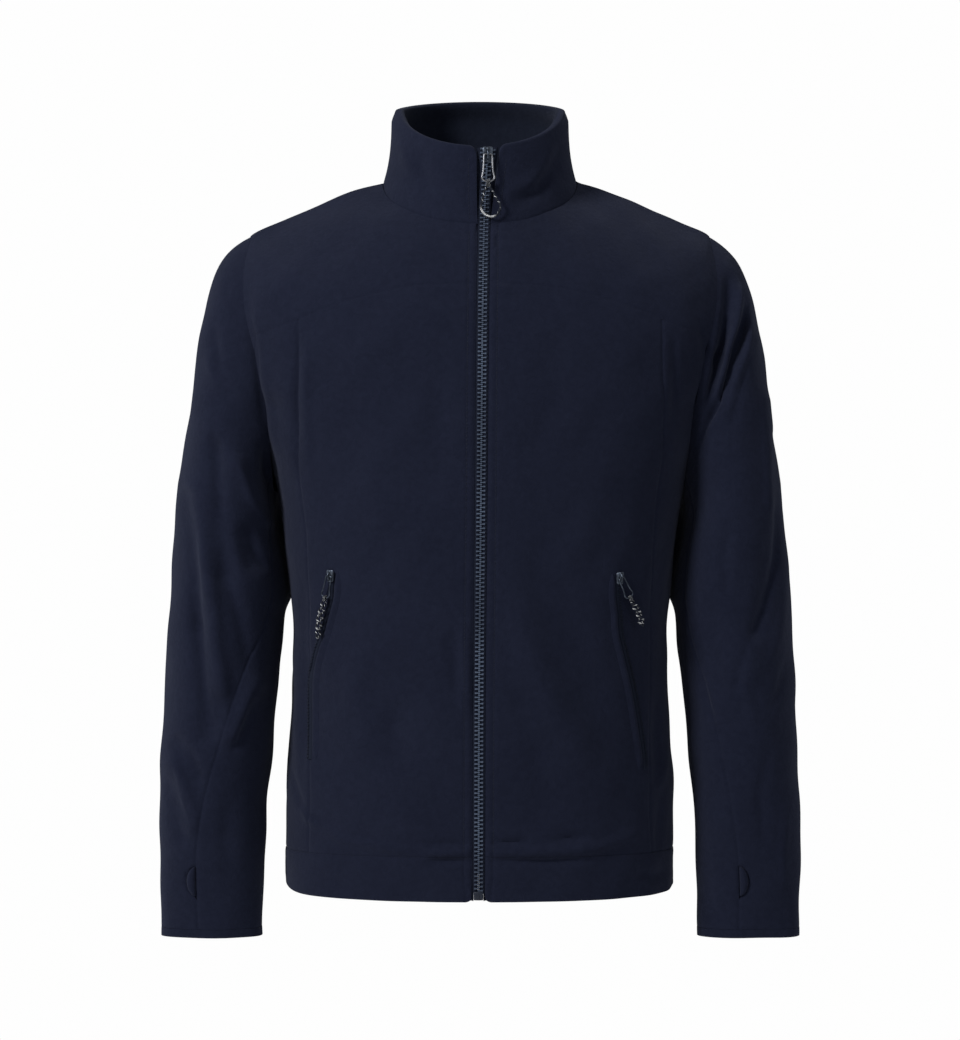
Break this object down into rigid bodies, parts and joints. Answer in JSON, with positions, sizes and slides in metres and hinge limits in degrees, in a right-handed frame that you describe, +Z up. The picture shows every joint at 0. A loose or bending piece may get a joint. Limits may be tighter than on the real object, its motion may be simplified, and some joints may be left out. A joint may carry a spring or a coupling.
{
  "type": "fleece zip jacket",
  "caption": "Fleece jacket with a stand collar, full front zip, long sleeves with thumbholes and zipped side pockets, filled out as worn.",
  "frame": {"origin": "on the zip line's plane, in the middle of the neck hole at the height where the shoulder seams meet the collar, the place where the wearer's shoulders hold the jacket", "axes": "+Z up, the front faces -Y, the wearer's left is +X"},
  "size_m": [0.6363, 0.2654, 0.8355],
  "materials": {
    "navy fleece": "soft brushed fleece, matt with a faint nap",
    "zip teeth": "satin moulded teeth and coils on navy tape",
    "dull metal": "grey plated metal, rubbed bright on its edges",
    "flecked cord": "round braided cord, dark with light flecks"
  },
  "bodies": {
    "jacket": {"back_yoke": "navy fleece", "centre_back": "navy fleece", "side_back_left": "navy fleece", "side_back_right": "navy fleece", "collar": "navy fleece", "hem_back": "navy fleece", "centre_front_left": "navy fleece", "side_front_left": "navy fleece", "front_yoke_left": "navy fleece", "hem_front_left": "navy fleece", "upper_sleeve_left": "navy fleece", "under_sleeve_left": "navy fleece", "thumbhole_facing_left": "navy fleece", "cuff_binding_left": "navy fleece", "pocket_lip_left": "navy fleece", "centre_front_right": "navy fleece", "side_front_right": "navy fleece", "front_yoke_right": "navy fleece", "hem_front_right": "navy fleece", "upper_sleeve_right": "navy fleece", "under_sleeve_right": "navy fleece", "thumbhole_facing_right": "navy fleece", "cuff_binding_right": "navy fleece", "pocket_lip_right": "navy fleece", "zip_left": "zip teeth", "zip_right": "zip teeth", "zip_box": "zip teeth", "pocket_zip_left": "zip teeth", "pocket_zip_right": "zip teeth", "main_slider": "dull metal", "pocket_slider_left": "dull metal", "pocket_slider_right": "dull metal"},
    "main_tab": {"main_pull": "dull metal", "main_knot": "flecked cord", "main_cord": "flecked cord"},
    "left_pocket_tab": {"pocket_pull_left": "dull metal", "pocket_knot_left": "flecked cord", "pocket_cord_left": "flecked cord"},
    "right_pocket_tab": {"pocket_pull_right": "dull metal", "pocket_knot_right": "flecked cord", "pocket_cord_right": "flecked cord"}
  },
  "joints": [
    {"name": "main_pull_hinge", "type": "hinge", "parent": "jacket", "child": "main_tab", "pos_m": [0.00777, -0.08571, 0.0262], "axis": [0.997, 0.0779, 0], "range_deg": [-160, 0]},
    {"name": "left_pocket_pull_hinge", "type": "hinge", "parent": "jacket", "child": "left_pocket_tab", "pos_m": [0.13649, -0.11126, -0.38618], "axis": [0.7676, 0.4366, 0.4692], "range_deg": [-160, 0]},
    {"name": "right_pocket_pull_hinge", "type": "hinge", "parent": "jacket", "child": "right_pocket_tab", "pos_m": [-0.14631, -0.10497, -0.38422], "axis": [0.8009, -0.555, -0.2247], "range_deg": [-160, 0]}
  ]
}
